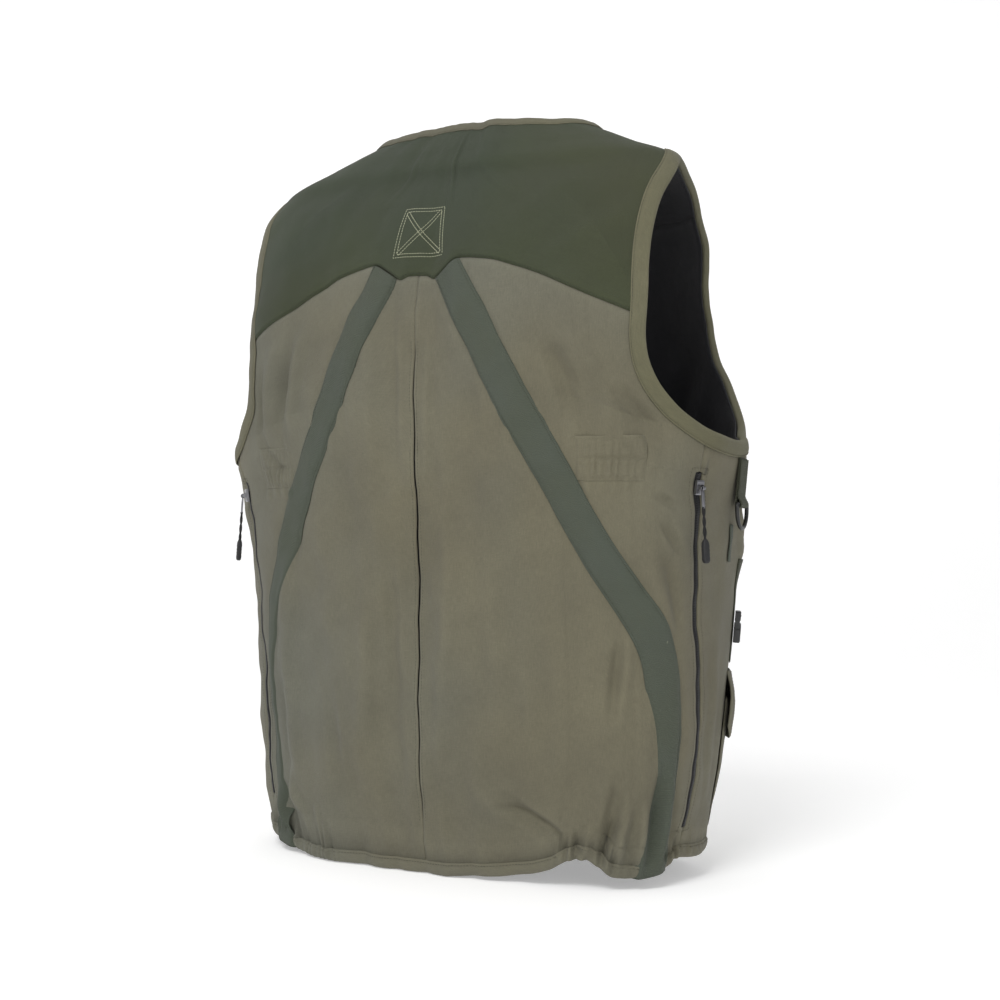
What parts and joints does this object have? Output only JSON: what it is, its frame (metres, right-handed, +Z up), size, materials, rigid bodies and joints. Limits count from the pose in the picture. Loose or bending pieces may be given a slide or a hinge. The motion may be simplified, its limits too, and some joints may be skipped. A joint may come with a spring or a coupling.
{
  "type": "backpack vest",
  "caption": "Sleeveless vest with a contrasting yoke, converging webbing straps on the back, bound armholes, long side zips, D-ring loops and cargo pockets.",
  "frame": {"origin": "between the wearer's shoulders, at the height where they carry the vest, level with the seat of the neck opening; the hem hangs about 0.70 m below", "axes": "+Z up, the wearer faces -Y, so +Y is the back of the vest and +X the wearer's left"},
  "size_m": [0.5452, 0.3233, 0.711],
  "materials": {
    "shell_cloth": "matte grey-olive twill, lightly brushed",
    "yoke_cloth": "matte dark green brushed cloth",
    "strap_webbing": "woven sage green webbing with a fine cross rib",
    "binding_tape": "folded olive twill tape",
    "lining_cloth": "near-black plain lining",
    "zip_tape": "black woven zip tape with black teeth",
    "zip_metal": "satin grey metal",
    "dark_webbing": "green-black woven webbing",
    "black_plastic": "moulded black plastic"
  },
  "bodies": {
    "vest": {"back_left": "shell_cloth", "back_right": "shell_cloth", "front_left": "shell_cloth", "front_right": "shell_cloth", "hem_back": "shell_cloth", "hem_front_left": "shell_cloth", "hem_front_right": "shell_cloth", "waist_casing_left": "shell_cloth", "waist_casing_right": "shell_cloth", "pocket_left": "shell_cloth", "pocket_right": "shell_cloth", "pocket_flap_left": "shell_cloth", "pocket_flap_right": "shell_cloth", "yoke": "yoke_cloth", "strap_left": "strap_webbing", "strap_right": "strap_webbing", "d_tail_left": "strap_webbing", "d_tail_right": "strap_webbing", "binding_arm_left": "binding_tape", "binding_arm_right": "binding_tape", "binding_neck": "binding_tape", "lining_back": "lining_cloth", "lining_front_left": "lining_cloth", "lining_front_right": "lining_cloth", "lining_yoke": "lining_cloth", "zip_left": "zip_tape", "zip_right": "zip_tape", "zip_front": "zip_tape", "slider_left": "zip_metal", "slider_right": "zip_metal", "slider_front": "zip_metal", "d_web_left": "dark_webbing", "d_web_right": "dark_webbing", "buckle_strap_left": "dark_webbing", "buckle_strap_right": "dark_webbing", "buckle_left": "black_plastic", "buckle_right": "black_plastic"},
    "d_ring_left": {"d_ring_left": "black_plastic"},
    "d_ring_right": {"d_ring_right": "black_plastic"},
    "pull_front": {"pull_front": "zip_metal"},
    "pull_left": {"pull_left": "zip_metal"},
    "pull_right": {"pull_right": "zip_metal"}
  },
  "joints": [
    {"name": "d_ring_left_swing", "type": "hinge", "parent": "vest", "child": "d_ring_left", "pos_m": [0.27438, -0.01922, -0.35961], "axis": [-0.0772, -0.997, 0], "range_deg": [0, 150]},
    {"name": "d_ring_right_swing", "type": "hinge", "parent": "vest", "child": "d_ring_right", "pos_m": [-0.26204, -0.01833, -0.35977], "axis": [-0.0708, 0.9975, 0], "range_deg": [0, 150]},
    {"name": "pull_front_swing", "type": "hinge", "parent": "vest", "child": "pull_front", "pos_m": [0, -0.16718, -0.2097], "axis": [-1, 0, 0], "range_deg": [0, 150]},
    {"name": "pull_left_swing", "type": "hinge", "parent": "vest", "child": "pull_left", "pos_m": [0.24113, 0.07451, -0.34691], "axis": [0.7574, -0.653, 0], "range_deg": [0, 150]},
    {"name": "pull_right_swing", "type": "hinge", "parent": "vest", "child": "pull_right", "pos_m": [-0.25517, 0.05886, -0.34727], "axis": [0.3871, 0.9221, 0], "range_deg": [0, 150]}
  ]
}
